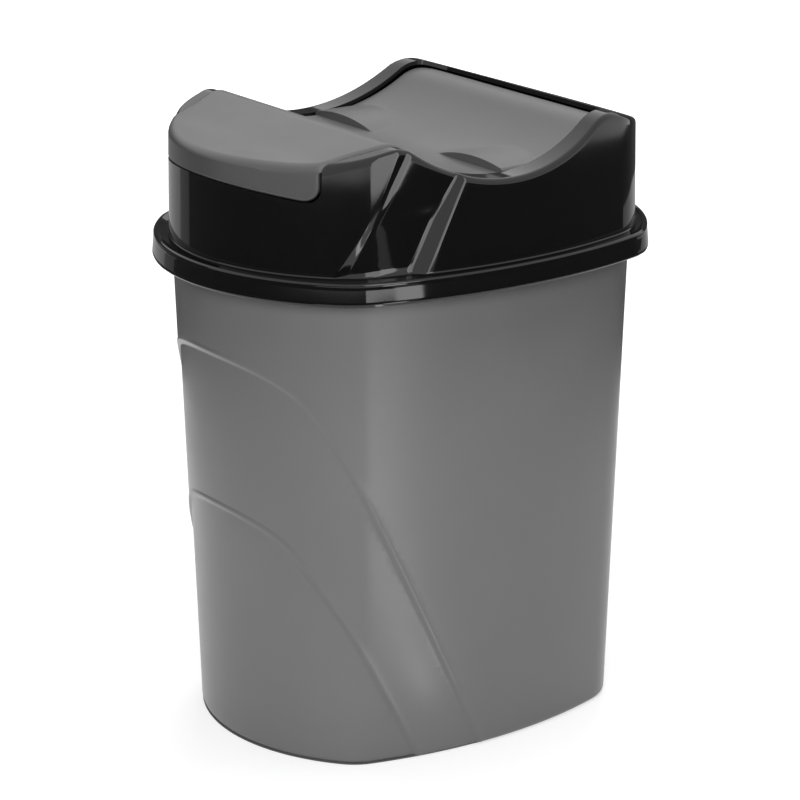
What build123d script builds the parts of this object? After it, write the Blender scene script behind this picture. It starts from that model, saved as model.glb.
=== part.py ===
from build123d import *
import os

# Kitchen waste bin: a tapered bucket, a lid with a collar, and a wave shaped flap that rocks in the lid.
# The front, with the flap's hanging lip, faces minus Y. All sizes are in millimetres.

# Walls and running gaps
WALL = 2.2
FLAP_GAP = 0.8
REAR_GAP = 1.6
LIP_GAP = 0.6

# Bucket: half width, half depth, corner radius, bow of the wide sides, bow of the short sides
BASE = (87.7, 112.5, 29.8, 9.4, 18.6)
TOP = (94.7, 121.5, 30.0, 9.6, 23.1)
SEAT_Z = 259.5
FLOOR = 2.5
FOOT_RAISE = 2.0
FOOT_WIDTH = 9.0
BOTTOM_ROUND = 3.5
RIM_REACH = 7.6
RIM_DROP = 8.0

# Arched relief: each arch drops the wall by one step, and runs as one straight rake in the side view
RELIEF_STEP = 1.2
ARCH_UPPER = ((-150.0, 223.0), (-112.5, 223.0), (-9.7, 0.0))
ARCH_LOWER = ((-150.0, 137.0), (-114.5, 137.0), (-46.0, 0.0))
ARCH_UPPER_BEND = 50.0
ARCH_LOWER_BEND = 42.0

# Lid: the collar over the rim, and the wall that stands on it
COLLAR = (104.8, 131.7, 40.0, 9.6, 23.1)
COLLAR_LOW = 250.0
COLLAR_TOP = 262.0
COLLAR_ROUND = 3.0
SHROUD = (98.4, 125.2, 39.8, 9.6, 23.1)
SHROUD_SET_BACK = 1.4
SHROUD_LOW_Z = 257.5
SHROUD_TOP_Z = 340.0
SHROUD_DRAFT = 1.3

# Waves of the top, in the side view: corners of the control line and the bend at each inner corner
RIM_WAVE = ((-150.0, 314.6), (-97.0, 316.7), (-60.8, 325.75), (-1.0, 283.5), (62.6, 328.4), (150.0, 300.0))
FLAP_WAVE = ((-150.0, 315.7), (-97.0, 317.8), (-60.8, 326.8), (-1.0, 283.5), (62.6, 324.8), (150.0, 296.4))
WAVE_BENDS = (60.0, 14.0, 93.0, 20.0)

# Size of the blocks that stand for everything above an arch or below a wave
HALF_SPAN = 150.0
REGION_TOP_Z = 300.0
REGION_LOW_Z = 200.0

# Slanted sunk band on each side of the lid: its two edges at three heights, and the slopes of its sides
BAND_DEPTH = 3.0
BAND_HEIGHTS = (255.0, 293.0, 335.0)
BAND_FRONT = ((70.1, -96.2), (85.4, -77.0), (90.0, -58.9))
BAND_REAR = ((92.65, -53.5), (95.2, -36.1), (96.6, -16.4))
BAND_FRONT_SLOPE = (-0.25, 0.97)
BAND_REAR_SLOPE = (-0.58, -0.82)
BAND_REACH_IN = 12.0
BAND_REACH_OUT = 30.0

# Flap: half width at the front, at the valley and at the back, and its lengths
FLAP_FRONT_X = 70.0
FLAP_MID_X = 83.4
FLAP_REAR_X = 74.8
FLAP_STRAIGHT_Y = -70.0
FLAP_REAR_Y = 75.0
FLAP_REAR_ROUND = 12.0
FLAP_PLAN_FRONT_Y = -150.0
LIP_LOW = 298.0
LIP_LOW_MIDDLE = 303.7
LIP_ROUND = 8.0
LIP_BACK_Y = -90.0
LIP_REACH = 60.0
OPENING_FRONT_Y = -94.0
SKIRT = 8.0

# Hinge: pivot line, studs on the flap, ears under the lid's flange
PIVOT_Y = 3.0
PIVOT_Z = 298.0
STUD_R = 3.0
STUD_CLEAR = 0.06
STUD_END_X = 88.4
BOSS_R = 4.6
EAR_X = (84.6, 87.6)
EAR_WIDTH = 15.0
EAR_TOP = 303.5

# Raised hoods over the studs, at both ends of the flap's valley
HOOD_LINE = ((28.0, 302.8), (59.0, 307.6), (86.0, 304.6))
HOOD_LOW_Z = 300.0
HOOD_FACE_Y = 2.0
HOOD_LENGTH = 26.0

os.makedirs("parts", exist_ok=True)


def outline(height, sizes, inset=0.0):
    """Bowed rectangle with round corners, drawn in from its sizes by inset."""
    half_x, half_y, corner, bow_x, bow_y = sizes
    core_x = half_x - corner - bow_x
    core_y = half_y - corner - bow_y
    with BuildSketch(Plane.XY.offset(height)) as shape:
        with BuildLine():
            ThreePointArc((core_x, -core_y), (core_x + bow_x, 0), (core_x, core_y))
            ThreePointArc((core_x, core_y), (0, core_y + bow_y), (-core_x, core_y))
            ThreePointArc((-core_x, core_y), (-core_x - bow_x, 0), (-core_x, -core_y))
            ThreePointArc((-core_x, -core_y), (0, -core_y - bow_y), (core_x, -core_y))
        make_face()
        offset(amount=corner - inset, kind=Kind.ARC)
    return shape.sketch


def prism(low, high, sizes, inset=0.0):
    """Upright block with the bowed outline between two heights."""
    with BuildPart() as block:
        extrude(outline(low, sizes, inset).face(), amount=high - low)
    return block.part


def bucket_sizes(height):
    """Outline sizes of the tapered bucket at a height."""
    share = height / SEAT_Z
    return tuple(low + (high - low) * share for low, high in zip(BASE, TOP))


def bucket_block(low, high, inset):
    """Tapered block between two heights, drawn in from the bucket's outside by inset."""
    with BuildPart() as block:
        loft([outline(low, bucket_sizes(low), inset).face(), outline(high, bucket_sizes(high), inset).face()])
    return block.part


def above_arch(arch, bend):
    """Everything above an arch line of the side view, right across the bucket."""
    (front_y, front_z), (_, foot_z) = arch[0], arch[-1]
    with BuildPart() as region:
        with BuildSketch(Plane.YZ):
            with BuildLine():
                FilletPolyline(*arch, radius=bend)
                Polyline(arch[-1], (HALF_SPAN, foot_z), (HALF_SPAN, REGION_TOP_Z), (front_y, REGION_TOP_Z),
                         (front_y, front_z))
            make_face()
        extrude(amount=HALF_SPAN, both=True)
    return region.part


def stepped_block(low, high, inset):
    """Bucket block whose wall drops by one relief step below each arch."""
    with BuildPart() as between:
        add(bucket_block(low, high, inset + RELIEF_STEP))
        add(above_arch(ARCH_LOWER, ARCH_LOWER_BEND), mode=Mode.INTERSECT)
    with BuildPart() as above:
        add(bucket_block(low, high, inset))
        add(above_arch(ARCH_UPPER, ARCH_UPPER_BEND), mode=Mode.INTERSECT)
    with BuildPart() as block:
        add(bucket_block(low, high, inset + 2 * RELIEF_STEP))
        add(between.part)
        add(above.part)
    return block.part


def below_wave(wave, drop=0.0):
    """Everything under a wave of the top, lowered square to the wave by drop."""
    with BuildPart() as region:
        with BuildSketch(Plane.YZ):
            with BuildLine():
                FilletPolyline(*wave, radius=list(WAVE_BENDS))
                Polyline(wave[-1], (wave[-1][0], REGION_LOW_Z), (wave[0][0], REGION_LOW_Z), wave[0])
            make_face()
            if drop:
                offset(amount=-drop)
        extrude(amount=HALF_SPAN, both=True)
    return region.part


def shroud_block(inset):
    """The lid's drafted wall as a solid block, taller than the wave."""
    slope = SHROUD_DRAFT / (SHROUD_TOP_Z - COLLAR_TOP)
    with BuildPart() as block:
        low = outline(SHROUD_LOW_Z, SHROUD, inset - (COLLAR_TOP - SHROUD_LOW_Z) * slope)
        high = outline(SHROUD_TOP_Z, SHROUD, inset + SHROUD_DRAFT)
        loft([low.face(), high.face()])
    return block.part.moved(Location((0, SHROUD_SET_BACK, 0)))


def side_band(grow):
    """Slanted wedge that sinks the band into one side of the lid, grown by grow for the inside."""
    sections = []
    for height, front, rear in zip(BAND_HEIGHTS, BAND_FRONT, BAND_REAR):
        corners = []
        for (x, y), (slope_x, slope_y), reach in ((front, BAND_FRONT_SLOPE, -BAND_REACH_OUT),
                                                  (front, BAND_FRONT_SLOPE, BAND_REACH_IN),
                                                  (rear, BAND_REAR_SLOPE, BAND_REACH_IN),
                                                  (rear, BAND_REAR_SLOPE, -BAND_REACH_OUT)):
            corners.append((x + slope_x * reach, y + slope_y * reach))
        with BuildSketch(Plane.XY.offset(height)) as section:
            with BuildLine():
                Polyline(*corners, close=True)
            make_face()
            if grow:
                offset(amount=grow, kind=Kind.INTERSECTION)
        sections.append(section.sketch.face())
    with BuildPart() as band:
        loft(sections, ruled=True)
    return band.part


def flap_plan(gap, rear_gap, front_y, low):
    """Block with the flap's plan outline from front_y back, grown by the gaps, above low."""
    front_x, mid_x, rear_x = (x + gap for x in (FLAP_FRONT_X, FLAP_MID_X, FLAP_REAR_X))
    rear_y = FLAP_REAR_Y + rear_gap
    with BuildPart() as block:
        with BuildSketch(Plane.XY.offset(low)) as plan:
            with BuildLine():
                ThreePointArc((front_x, FLAP_STRAIGHT_Y), (mid_x, 0), (rear_x, rear_y))
                Line((rear_x, rear_y), (-rear_x, rear_y))
                ThreePointArc((-rear_x, rear_y), (-mid_x, 0), (-front_x, FLAP_STRAIGHT_Y))
                Polyline((-front_x, FLAP_STRAIGHT_Y), (-front_x, front_y), (front_x, front_y),
                         (front_x, FLAP_STRAIGHT_Y))
            make_face()
            fillet(plan.vertices().group_by(Axis.Y)[-1], FLAP_REAR_ROUND + gap)
        extrude(amount=SHROUD_TOP_Z - low)
    return block.part


def lip_block(side_gap, low_gap):
    """Front view block of the hanging lip: its lower edge arches up, between round corners."""
    half = FLAP_FRONT_X + side_gap
    low = LIP_LOW - low_gap
    with BuildPart() as block:
        with BuildSketch(Plane.XZ.offset(-LIP_BACK_Y)) as front:
            with BuildLine():
                ThreePointArc((-half, low), (0, LIP_LOW_MIDDLE - low_gap), (half, low))
                Polyline((half, low), (half, SHROUD_TOP_Z), (-half, SHROUD_TOP_Z), (-half, low))
            make_face()
            fillet(front.vertices().group_by(Axis.Y)[0], LIP_ROUND + side_gap)
        extrude(amount=LIP_REACH)
    return block.part


def hood_block(inset):
    """Raised hood over one stud: a low arch in the front view, run back into the rising wave."""
    inner, peak, outer = HOOD_LINE
    with BuildPart() as block:
        with BuildSketch(Plane.XZ.offset(-HOOD_FACE_Y - inset)):
            with BuildLine():
                ThreePointArc((inner[0] + inset, inner[1] - inset), (peak[0], peak[1] - inset),
                              (outer[0], outer[1] - inset))
                Polyline((outer[0], outer[1] - inset), (outer[0], HOOD_LOW_Z), (inner[0] + inset, HOOD_LOW_Z),
                         (inner[0] + inset, inner[1] - inset))
            make_face()
        extrude(amount=-HOOD_LENGTH)
    return block.part


# Bucket: the stepped shell, with its floor, foot ring and rim
with BuildPart() as rim:
    add(prism(SEAT_Z - RIM_DROP, SEAT_Z, TOP, -RIM_REACH))
    add(prism(SEAT_Z - RIM_DROP, SEAT_Z - WALL, TOP, WALL - RIM_REACH), mode=Mode.SUBTRACT)
with BuildPart() as bucket:
    add(stepped_block(0, SEAT_Z, 0))
    fillet(bucket.edges().group_by(Axis.Z)[0], BOTTOM_ROUND)
    add(rim.part)
    add(stepped_block(FOOT_RAISE + FLOOR, SEAT_Z + 1, WALL), mode=Mode.SUBTRACT)
    add(prism(0, FOOT_RAISE, BASE, FOOT_WIDTH), mode=Mode.SUBTRACT)
bucket.part.label = "bucket"
export_step(bucket.part, "parts/bucket.step")

# Lid: the sunk bands, as cut outside and as left standing inside
with BuildPart() as band_cut:
    add(side_band(0))
    add(shroud_block(BAND_DEPTH), mode=Mode.SUBTRACT)
    mirror(about=Plane.YZ)
with BuildPart() as band_inside:
    add(side_band(WALL))
    add(shroud_block(BAND_DEPTH + WALL), mode=Mode.SUBTRACT)
    mirror(about=Plane.YZ)

# Lid: the space inside, under the flange
with BuildPart() as lid_inside:
    add(shroud_block(WALL))
    add(below_wave(RIM_WAVE, WALL), mode=Mode.INTERSECT)
    add(band_inside.part, mode=Mode.SUBTRACT)
    add(prism(COLLAR_LOW, SEAT_Z, COLLAR, WALL))

# Lid: the collar, with its rounded top edge
with BuildPart() as collar:
    add(prism(COLLAR_LOW, COLLAR_TOP, COLLAR))
    fillet(collar.edges().group_by(Axis.Z)[-1], COLLAR_ROUND)

# Lid: one shell, with the flap's opening and the two ears
with BuildPart() as lid:
    add(shroud_block(0))
    add(below_wave(RIM_WAVE), mode=Mode.INTERSECT)
    add(band_cut.part, mode=Mode.SUBTRACT)
    add(collar.part)
    add(lid_inside.part, mode=Mode.SUBTRACT)
    add(flap_plan(FLAP_GAP, REAR_GAP, OPENING_FRONT_Y, LIP_LOW), mode=Mode.SUBTRACT)
    add(lip_block(FLAP_GAP, LIP_GAP), mode=Mode.SUBTRACT)
    for ear_start in (EAR_X[0], -EAR_X[1]):
        with BuildSketch(Plane.YZ.offset(ear_start)):
            with Locations((PIVOT_Y, PIVOT_Z)):
                Circle(EAR_WIDTH / 2)
            with Locations((PIVOT_Y, (PIVOT_Z + EAR_TOP) / 2)):
                Rectangle(EAR_WIDTH, EAR_TOP - PIVOT_Z)
            with Locations((PIVOT_Y, PIVOT_Z)):
                Circle(STUD_R + STUD_CLEAR, mode=Mode.SUBTRACT)
        extrude(amount=EAR_X[1] - EAR_X[0])
lid.part.label = "lid"
export_step(lid.part, "parts/lid.step")

# Flap: the space under its sheet, between the skirts and the lip
with BuildPart() as flap_inside:
    add(flap_plan(-WALL, -WALL, FLAP_PLAN_FRONT_Y, REGION_LOW_Z))
    add(shroud_block(WALL), mode=Mode.INTERSECT)
    add(below_wave(FLAP_WAVE, WALL), mode=Mode.INTERSECT)

# Flap: what lies below the skirts' lower edge, apart from the lip
with BuildPart() as below_skirt:
    add(below_wave(FLAP_WAVE, SKIRT))
    add(lip_block(0, 0), mode=Mode.SUBTRACT)

# Flap: hoods over the studs, closed in front and hollow underneath
with BuildPart() as hoods:
    add(hood_block(0))
    add(flap_plan(0, 0, LIP_BACK_Y, REGION_LOW_Z), mode=Mode.INTERSECT)
    mirror(about=Plane.YZ)
with BuildPart() as hood_hollows:
    add(hood_block(WALL))
    add(flap_plan(-WALL, -WALL, LIP_BACK_Y, REGION_LOW_Z), mode=Mode.INTERSECT)
    mirror(about=Plane.YZ)

# Flap: the sheet with its skirts and lip, and a stud at each end of the valley
with BuildPart() as flap:
    add(flap_plan(0, 0, FLAP_PLAN_FRONT_Y, REGION_LOW_Z))
    add(shroud_block(0), mode=Mode.INTERSECT)
    add(below_wave(FLAP_WAVE), mode=Mode.INTERSECT)
    add(hoods.part)
    add(flap_inside.part, mode=Mode.SUBTRACT)
    add(hood_hollows.part, mode=Mode.SUBTRACT)
    add(below_skirt.part, mode=Mode.SUBTRACT)
    for side in (-1, 1):
        with BuildSketch(Plane.YZ.offset(side * (FLAP_MID_X - 2 * WALL))):
            with Locations((PIVOT_Y, PIVOT_Z)):
                Circle(BOSS_R)
        extrude(amount=side * 1.5 * WALL)
        with BuildSketch(Plane.YZ.offset(side * (FLAP_MID_X - WALL / 2))):
            with Locations((PIVOT_Y, PIVOT_Z)):
                Circle(STUD_R)
        extrude(amount=side * (STUD_END_X - FLAP_MID_X + WALL / 2))
flap.part.label = "flap"
export_step(flap.part, "parts/flap.step")
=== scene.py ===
# %% [markdown]
# # A kitchen waste bin with a rocking flap
# The bin is three mouldings: a satin grey bucket, a glossy black lid that sits over its rim, and a dark
# flap that rocks in the lid. The fixed frame holds their sizes, joints and places, so this lesson only
# has to make finer surfaces in the same places, give them their plastics, and light them.

# %% Load the fixed frame
import math

import bmesh
import bpy
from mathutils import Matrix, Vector


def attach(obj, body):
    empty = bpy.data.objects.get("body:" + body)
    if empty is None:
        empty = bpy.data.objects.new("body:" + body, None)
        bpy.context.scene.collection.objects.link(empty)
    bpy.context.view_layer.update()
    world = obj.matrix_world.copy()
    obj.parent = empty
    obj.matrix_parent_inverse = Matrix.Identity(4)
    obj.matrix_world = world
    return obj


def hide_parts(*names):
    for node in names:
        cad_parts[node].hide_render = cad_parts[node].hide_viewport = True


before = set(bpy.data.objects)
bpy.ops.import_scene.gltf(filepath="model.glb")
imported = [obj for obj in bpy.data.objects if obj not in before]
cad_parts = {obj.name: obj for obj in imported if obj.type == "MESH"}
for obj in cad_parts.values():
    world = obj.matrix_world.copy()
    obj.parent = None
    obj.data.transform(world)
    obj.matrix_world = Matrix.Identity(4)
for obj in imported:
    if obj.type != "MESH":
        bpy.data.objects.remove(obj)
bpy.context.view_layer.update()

# %% [markdown]
# ## The outline that every piece shares
# Seen from above, the bucket, collar and lid are all the same kind of shape: a rectangle whose sides bow
# outwards and whose corners are round. It could be drawn as a curve and traced, but five arcs say it
# exactly. Each arc is kept as a radius, a centre and the turn of its outward direction, walked from the
# middle of the front round the right side to the middle of the back. The left half is the mirror image.

# %% The bowed outline as five arcs
QUARTER = math.pi / 2


def outline(sizes, inset=0.0):
    """Arcs of the half outline. Sizes: half width, half depth, corner radius, bow of side, bow of front."""
    half_x, half_y, corner, bow_x, bow_y = sizes
    core_x, core_y = half_x - corner - bow_x, half_y - corner - bow_y
    corner -= inset
    side = (core_y**2 + bow_x**2) / (2 * bow_x)
    front = (core_x**2 + bow_y**2) / (2 * bow_y)
    side_turn, front_turn = math.asin(core_y / side), QUARTER - math.asin(core_x / front)
    return [
        (front + corner, 0, front - core_y - bow_y, -QUARTER, -front_turn),
        (corner, core_x, -core_y, -front_turn, -side_turn),
        (side + corner, core_x + bow_x - side, 0, -side_turn, side_turn),
        (corner, core_x, core_y, side_turn, front_turn),
        (front + corner, 0, core_y + bow_y - front, front_turn, QUARTER),
    ]


def walk(arcs, length):
    """The point and its outward turn, so far along the half outline."""
    for radius, x, y, start, end in arcs:
        turn = start + length / radius
        if turn <= end:
            break
        length -= radius * (end - start)
    turn = min(turn, end)
    return x + radius * math.cos(turn), y + radius * math.sin(turn), turn


def length_of(arcs):
    return sum(radius * (end - start) for radius, x, y, start, end in arcs)


def length_where(arcs, x=None, y=None):
    """How far along the half outline it passes a depth y, or a width x on its front part."""
    length = 0.0
    for radius, centre_x, centre_y, start, end in arcs:
        if x is not None:
            turn = -math.acos(max(-1, min(1, (x - centre_x) / radius)))
        else:
            turn = math.asin(max(-1, min(1, (y - centre_y) / radius)))
        if turn < end:
            return length + radius * (max(turn, start) - start)
        length += radius * (end - start)
    return length


print("a 200 x 240 mm outline is", round(2 * length_of(outline((100, 120, 30, 10, 20))), 1), "mm round")

# %% [markdown]
# ## Lines of the side view
# The wave of the top and the two arches pressed into the bucket are straight runs joined by bends, and
# each of them gives one height for each depth. One function answers for all three, and tells the slope as
# well.

# %% Height and slope of a bent line
def bent_line(y, corners, bends):
    """Height and slope at depth y of a line of straight runs with a round bend at each inner corner."""
    slopes = [(b[1] - a[1]) / (b[0] - a[0]) for a, b in zip(corners, corners[1:])]
    for i, radius in enumerate(bends, 1):
        (corner_y, corner_z), before, after = corners[i], math.atan(slopes[i - 1]), math.atan(slopes[i])
        tangent = radius * math.tan(abs(after - before) / 2)
        if corner_y - tangent * math.cos(before) <= y <= corner_y + tangent * math.cos(after):
            side = 1 if after > before else -1
            centre_y = corner_y - tangent * math.cos(before) - side * radius * math.sin(before)
            centre_z = corner_z - tangent * math.sin(before) + side * radius * math.cos(before)
            rise = math.sqrt(radius**2 - (y - centre_y) ** 2)
            return centre_z - side * rise, side * (y - centre_y) / rise
        if y < corner_y:
            return corner_z + (y - corner_y) * slopes[i - 1], slopes[i - 1]
    return corners[-1][1] + (y - corners[-1][0]) * slopes[-1], slopes[-1]


# Points (y, z) of the lid's rim and of the flap's top, and the bend radius at each inner point
RIM_WAVE = ((-150.0, 314.6), (-97.0, 316.7), (-60.8, 325.75), (-1.0, 283.5), (62.6, 328.4), (150.0, 300.0))
FLAP_WAVE = ((-150.0, 315.7), (-97.0, 317.8), (-60.8, 326.8), (-1.0, 283.5), (62.6, 324.8), (150.0, 296.4))
WAVE_BENDS = (60.0, 14.0, 93.0, 20.0)


def wave(y):
    return bent_line(y, RIM_WAVE, WAVE_BENDS)[0]


def flap_wave(y):
    return bent_line(y, FLAP_WAVE, WAVE_BENDS)[0]


for title, line in (("lid", wave), ("flap", flap_wave)):
    print(title, "front hump, valley and crest, mm:", [round(line(y), 2) for y in (-60.8, -1.0, 62.6)])

# %% [markdown]
# ## From a modelled shape to a finished piece
# Each shape is modelled in millimetres, because the drawing is in millimetres, and is made small at the
# end. A piece stands for its node of the frame, moves with that node's body and gets the same plastic as
# that node.

# %% Helpers for finishing a piece
MM = 0.001


def object_from(bm, name):
    mesh = bpy.data.meshes.new(name)
    bm.to_mesh(mesh)
    bm.free()
    obj = bpy.data.objects.new(name, mesh)
    bpy.context.scene.collection.objects.link(obj)
    return obj


def finish_piece(bm, name, body, stands_for, smooth):
    """Turns a bmesh into a finished object; edges sharper than smooth, in degrees, stay sharp."""
    bmesh.ops.recalc_face_normals(bm, faces=bm.faces)
    bmesh.ops.scale(bm, vec=(MM, MM, MM), verts=bm.verts)
    piece = object_from(bm, name)
    piece.data.shade_smooth()
    piece.data.set_sharp_from_angle(angle=math.radians(smooth))
    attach(piece, body)
    if stands_for:
        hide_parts(stands_for)
    print(name, len(piece.data.vertices), "vertices", len(piece.data.polygons), "faces")
    return piece


def round_edges(piece, edge, segments):
    bevel = piece.modifiers.new("edges", "BEVEL")
    bevel.width, bevel.segments, bevel.limit_method = edge * MM, segments, "ANGLE"
    bevel.angle_limit = math.radians(50)
    bevel.use_clamp_overlap, bevel.harden_normals = True, True


def give_wall(piece, thickness, edge):
    """Thickens a sheet inwards and rounds its edges."""
    wall = piece.modifiers.new("wall", "SOLIDIFY")
    wall.thickness, wall.offset, wall.use_even_offset = thickness * MM, -1, False
    round_edges(piece, edge, 3)


print("one drawing unit is", MM, "m")

# %% [markdown]
# ## Rings
# A moulded shell is a stack of rings. A ring starts as a circle of the right number of points, every
# point keeps its number round the ring, and each point is sent to its place on the outline. Extruding the
# ring's edges gives the next ring with the same numbers, which is then sent to its own place.

# %% Start a ring, and grow the next one from it
def start_ring(bm, count, place):
    number = bm.verts.layers.int.new("number")
    ring = bmesh.ops.create_circle(bm, segments=count, radius=1)["verts"]
    for i, vert in enumerate(ring):
        vert[number] = i
        vert.co = place(i)
    return bm.edges[:]


def of_kind(geom, kind):
    return [g for g in geom if isinstance(g, kind)]


def grow(bm, edges, place):
    """Extrudes edges and sends each new point to its place; gives the new edges."""
    number = bm.verts.layers.int["number"]
    made = bmesh.ops.extrude_edge_only(bm, edges=edges)["geom"]
    fresh = set(of_kind(made, bmesh.types.BMVert))
    for vert in fresh:
        vert.co = place(vert[number])
    return [e for e in of_kind(made, bmesh.types.BMEdge) if set(e.verts) <= fresh]


def mirrored(i, count, point):
    """point(i) for the right half of a ring of count points, and its mirror image for the left half."""
    half = count // 2
    if i <= half:
        return Vector(point(i))
    x, y, z = point(count - i)
    return Vector((-x, y, z))


print("points of a ring of 8:", [mirrored(i, 8, lambda i: (i, 0, 0)).x for i in range(8)])

# %% [markdown]
# ## The bucket
# The real bucket is one thin moulding: a tapered wall, a foot ring under a raised floor, and a rim that
# turns out and down to stiffen the mouth. A lathe shape won't do, because it isn't round, so it is a
# stack of rings that runs from the floor's underside up the outside, over the rim and down the inside to
# the floor.

# %% Bucket sizes and the rings that fit them
BASE = (87.7, 112.5, 29.8, 9.4, 18.6)
TOP = (94.7, 121.5, 30.0, 9.6, 23.1)
SEAT_Z, WALL, FLOOR, FOOT_RAISE, FOOT_WIDTH, BOTTOM_ROUND = 259.5, 2.2, 2.5, 2.0, 9.0, 3.5
RIM_REACH, RIM_DROP = 7.6, 8.0
BUCKET_COUNT = 240


def bucket_ring(z, inset):
    arcs = outline([low + (high - low) * z / SEAT_Z for low, high in zip(BASE, TOP)], inset)
    half = length_of(arcs)

    def point(i):
        x, y, turn = walk(arcs, half * i / (BUCKET_COUNT // 2))
        return x, y, z

    return lambda i: mirrored(i, BUCKET_COUNT, point)


print("bucket's half width and half depth, mm: foot", BASE[:2], "mouth", TOP[:2])

# %% Helpers that divide a quarter turn or a length
def arc_steps(count):
    """Angles from 0 to a quarter turn, in equal steps."""
    return [QUARTER * k / count for k in range(count + 1)]


def spread(low, high, step):
    """Places after low up to high, in equal steps of about the given size."""
    count = max(1, round(abs(high - low) / step))
    return [low + (high - low) * k / count for k in range(1, count + 1)]


print("0 to 10 in steps of about 3:", [round(place, 2) for place in spread(0, 10, 3)])

# %% The bucket's stack of rings
# Each ring is (height, inset from the outer wall), and an inset below 0 stands out
underside = [(FOOT_RAISE, FOOT_WIDTH + 0.4), (0.3, FOOT_WIDTH + 0.3), (0.0, FOOT_WIDTH)]
foot = [(BOTTOM_ROUND * (1 - math.cos(a)), BOTTOM_ROUND * (1 - math.sin(a))) for a in arc_steps(6)]
outside = [(z, 0.0) for z in spread(BOTTOM_ROUND, SEAT_Z - WALL, 5.0)]
rim_out = WALL - RIM_REACH
rim_low = SEAT_Z - RIM_DROP
rim = [(SEAT_Z - WALL, rim_out + 0.6), (SEAT_Z - WALL - 0.6, rim_out), (rim_low + 0.4, rim_out)]
rim += [(rim_low, rim_out - 0.5), (rim_low, 0.5 - RIM_REACH), (rim_low + 0.5, -RIM_REACH)]
rim += [(SEAT_Z - 1.2, -RIM_REACH), (SEAT_Z - 0.4, 0.4 - RIM_REACH), (SEAT_Z, 1.2 - RIM_REACH)]
rim += [(SEAT_Z, WALL - 0.6), (SEAT_Z - 0.2, WALL - 0.15), (SEAT_Z - 0.7, WALL)]
inside = [(z, WALL) for z in spread(SEAT_Z - 0.7, FOOT_RAISE + FLOOR + 2, 10.0)]
inside += [(FOOT_RAISE + FLOOR + 0.6, WALL + 0.6), (FOOT_RAISE + FLOOR, WALL + 2.0)]
stack = underside + foot + outside + rim + inside

bm = bmesh.new()
edges = start_ring(bm, BUCKET_COUNT, bucket_ring(*stack[0]))
bmesh.ops.contextual_create(bm, geom=edges)
for z, inset in stack[1:]:
    edges = grow(bm, edges, bucket_ring(z, inset))
bmesh.ops.contextual_create(bm, geom=edges)
bmesh.ops.recalc_face_normals(bm, faces=bm.faces)
print("bucket", len(bm.faces), "faces before the arches")

# %% [markdown]
# ### The two pressed arches
# Below each arch the real wall steps inwards by about a millimetre. A bump texture would miss the step
# that shows on the left edge of the bin. So the arch lines are scored into the wall first, six close
# lines for each arch. Then everything below them is pushed in, and a low bead is left standing along the
# step's upper edge.

# %% The arches' lines and the profile of their step
RELIEF_STEP, ARCH_WIDTH, ARCH_BEAD = 1.2, 2.8, 0.35
# Where the lines are scored, as shares of the step's width; those below 0 are on the bead above it
ARCH_SHARES = (-0.6, -0.3, 0.0, 0.33, 0.67, 1.0)
UPPER_ARCH = ((-150.0, 218.0), (-110.2, 218.0), (-9.7, 0.0))
LOWER_ARCH = ((-150.0, 137.0), (-114.5, 137.0), (-46.0, 0.0))
ARCHES = ((UPPER_ARCH, 50.0), (LOWER_ARCH, 42.0))
ARCHED_BELOW_Z, ARCHED_BEFORE_Y = 225, 5


def clamped(share):
    return max(0.0, min(1.0, share))


def eased(share):
    """0 up to a share of 0, 1 from a share of 1, and a smooth rise between."""
    share = clamped(share)
    return share * share * (3 - 2 * share)


def below_arch(y, z, arch, bend):
    """How far the point (y, z) lies below the arch's line, square to it."""
    height, slope = bent_line(y, arch, (bend,))
    return (height - z) / math.hypot(1, slope)


def arch_depth(share):
    """How far the wall is pushed in at a share of the step's width; on the bead it stands out a little."""
    return (RELIEF_STEP + ARCH_BEAD) * eased(share) - ARCH_BEAD * eased(1 - share / ARCH_SHARES[0])


print("depth at each scored line, mm:", [round(arch_depth(share), 2) for share in ARCH_SHARES])

# %% Score the arches into the outer wall
NEAR_LINE = 8


def score(bm, faces, line):
    """Cuts the faces along a line of the side view, given as points (y, z)."""
    for (y0, z0), (y1, z1) in zip(line, line[1:]):
        run = Vector((0, y1 - y0, z1 - z0))
        length, run = run.length, run.normalized()
        start, across = Vector((0, y0, z0)), Vector((0, -run.z, run.y))
        near = []
        for face in faces:
            if face.is_valid:
                spot = face.calc_center_median() - start
                if abs(spot.dot(across)) < NEAR_LINE and -NEAR_LINE < spot.dot(run) < length + NEAR_LINE:
                    near.append(face)
        geom = set(near)
        for face in near:
            geom.update(face.edges)
            geom.update(face.verts)
        cut = bmesh.ops.bisect_plane(bm, geom=list(geom), dist=0.01, plane_co=start, plane_no=across)
        faces = [f for f in faces if f.is_valid]
        faces += of_kind(cut["geom"], bmesh.types.BMFace)
    return list(set(faces))


def is_outer(face):
    spot = face.calc_center_median()
    outwards = face.normal.dot(Vector((spot.x, spot.y, 0))) > 0
    return outwards and BOTTOM_ROUND * 0.2 < spot.z < ARCHED_BELOW_Z and spot.y < ARCHED_BEFORE_Y


wall_faces = [f for f in bm.faces if is_outer(f)]
for arch, bend in ARCHES:
    # The line is walked in short steps where it bends
    bend_start, bend_end = arch[1][0] - 0.65 * bend, arch[1][0] + 0.3 * bend
    for share in ARCH_SHARES:
        line = []
        for y in [-150.0, bend_start] + spread(bend_start, bend_end, 2.5) + [arch[2][0] + 3.0]:
            height, slope = bent_line(y, arch, (bend,))
            line.append((y, height - share * ARCH_WIDTH * math.hypot(1, slope)))
        wall_faces = score(bm, wall_faces, line)
print("bucket", len(bm.faces), "faces after scoring")

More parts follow.
